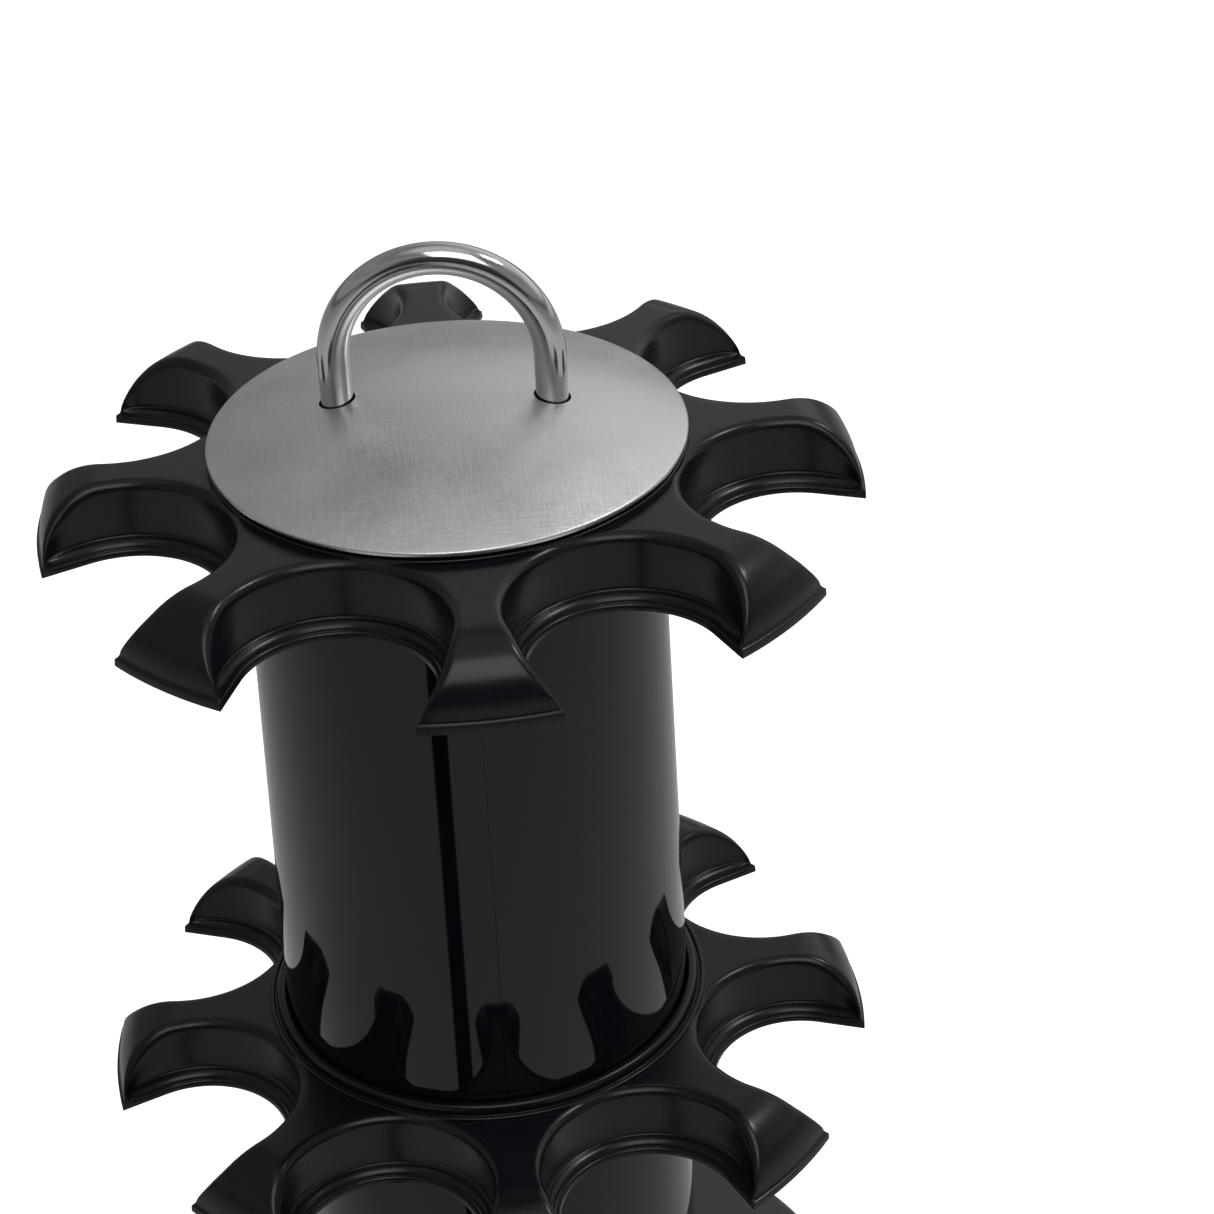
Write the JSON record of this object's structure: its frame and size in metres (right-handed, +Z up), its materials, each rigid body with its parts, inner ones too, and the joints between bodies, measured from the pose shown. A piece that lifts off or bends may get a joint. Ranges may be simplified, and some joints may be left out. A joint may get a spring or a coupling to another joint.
{
  "type": "spice carousel",
  "caption": "Free-standing revolving spice carousel: star-shaped tiers with round jar pockets on a tapered column, a domed metal cap with an arched handle, and a round turntable base.",
  "frame": {"origin": "middle of the resting plane, under the rubber feet", "axes": "+Z up along the column and the axis of rotation; the arms point along X, Y and their diagonals"},
  "size_m": [0.18, 0.18, 0.3369],
  "materials": {
    "tier_plastic": "satin moulded black with a fine grain",
    "tube_plastic": "high gloss black",
    "base_plastic": "satin moulded black",
    "cap_steel": "fine satin brushing",
    "handle_steel": "bright polished tube",
    "zinc_steel": "zinc plated",
    "ball_steel": "polished bearing steel",
    "nylon": "natural nylon",
    "rubber": "soft matt rubber"
  },
  "bodies": {
    "stand": {"foot_plate": "base_plastic", "rubber_feet": "rubber", "lower_race": "zinc_steel", "pivot_bolt": "zinc_steel", "pivot_washer": "zinc_steel", "pivot_nut": "zinc_steel"},
    "ball_ring": {"bearing_balls": "ball_steel", "ball_cage": "nylon"},
    "carousel": {"upper_race": "zinc_steel", "turntable": "base_plastic", "pivot_bush": "nylon", "anchor_plate": "zinc_steel", "anchor_screws": "zinc_steel", "tie_rod": "zinc_steel", "rod_foot_nut": "zinc_steel", "lower_tube": "tube_plastic", "lower_tier": "tier_plastic", "upper_tube": "tube_plastic", "upper_tier": "tier_plastic", "clamp_washer": "zinc_steel", "clamp_nut": "zinc_steel", "handle_bridge": "zinc_steel", "bridge_nut": "zinc_steel", "cap": "cap_steel", "cap_liner": "base_plastic", "handle": "handle_steel", "handle_washers": "zinc_steel", "handle_nuts": "zinc_steel"}
  },
  "joints": [
    {"name": "carousel_spin", "type": "hinge", "parent": "stand", "child": "carousel", "pos_m": [0, 0, 0.0152], "axis": [0, 0, 1], "continuous": true},
    {"name": "ball_ring_spin", "type": "hinge", "parent": "stand", "child": "ball_ring", "pos_m": [0, 0, 0.0116], "axis": [0, 0, 1], "continuous": true}
  ],
  "couplings": [
    {"joint": "ball_ring_spin", "follows": "carousel_spin", "ratio": 0.5}
  ]
}
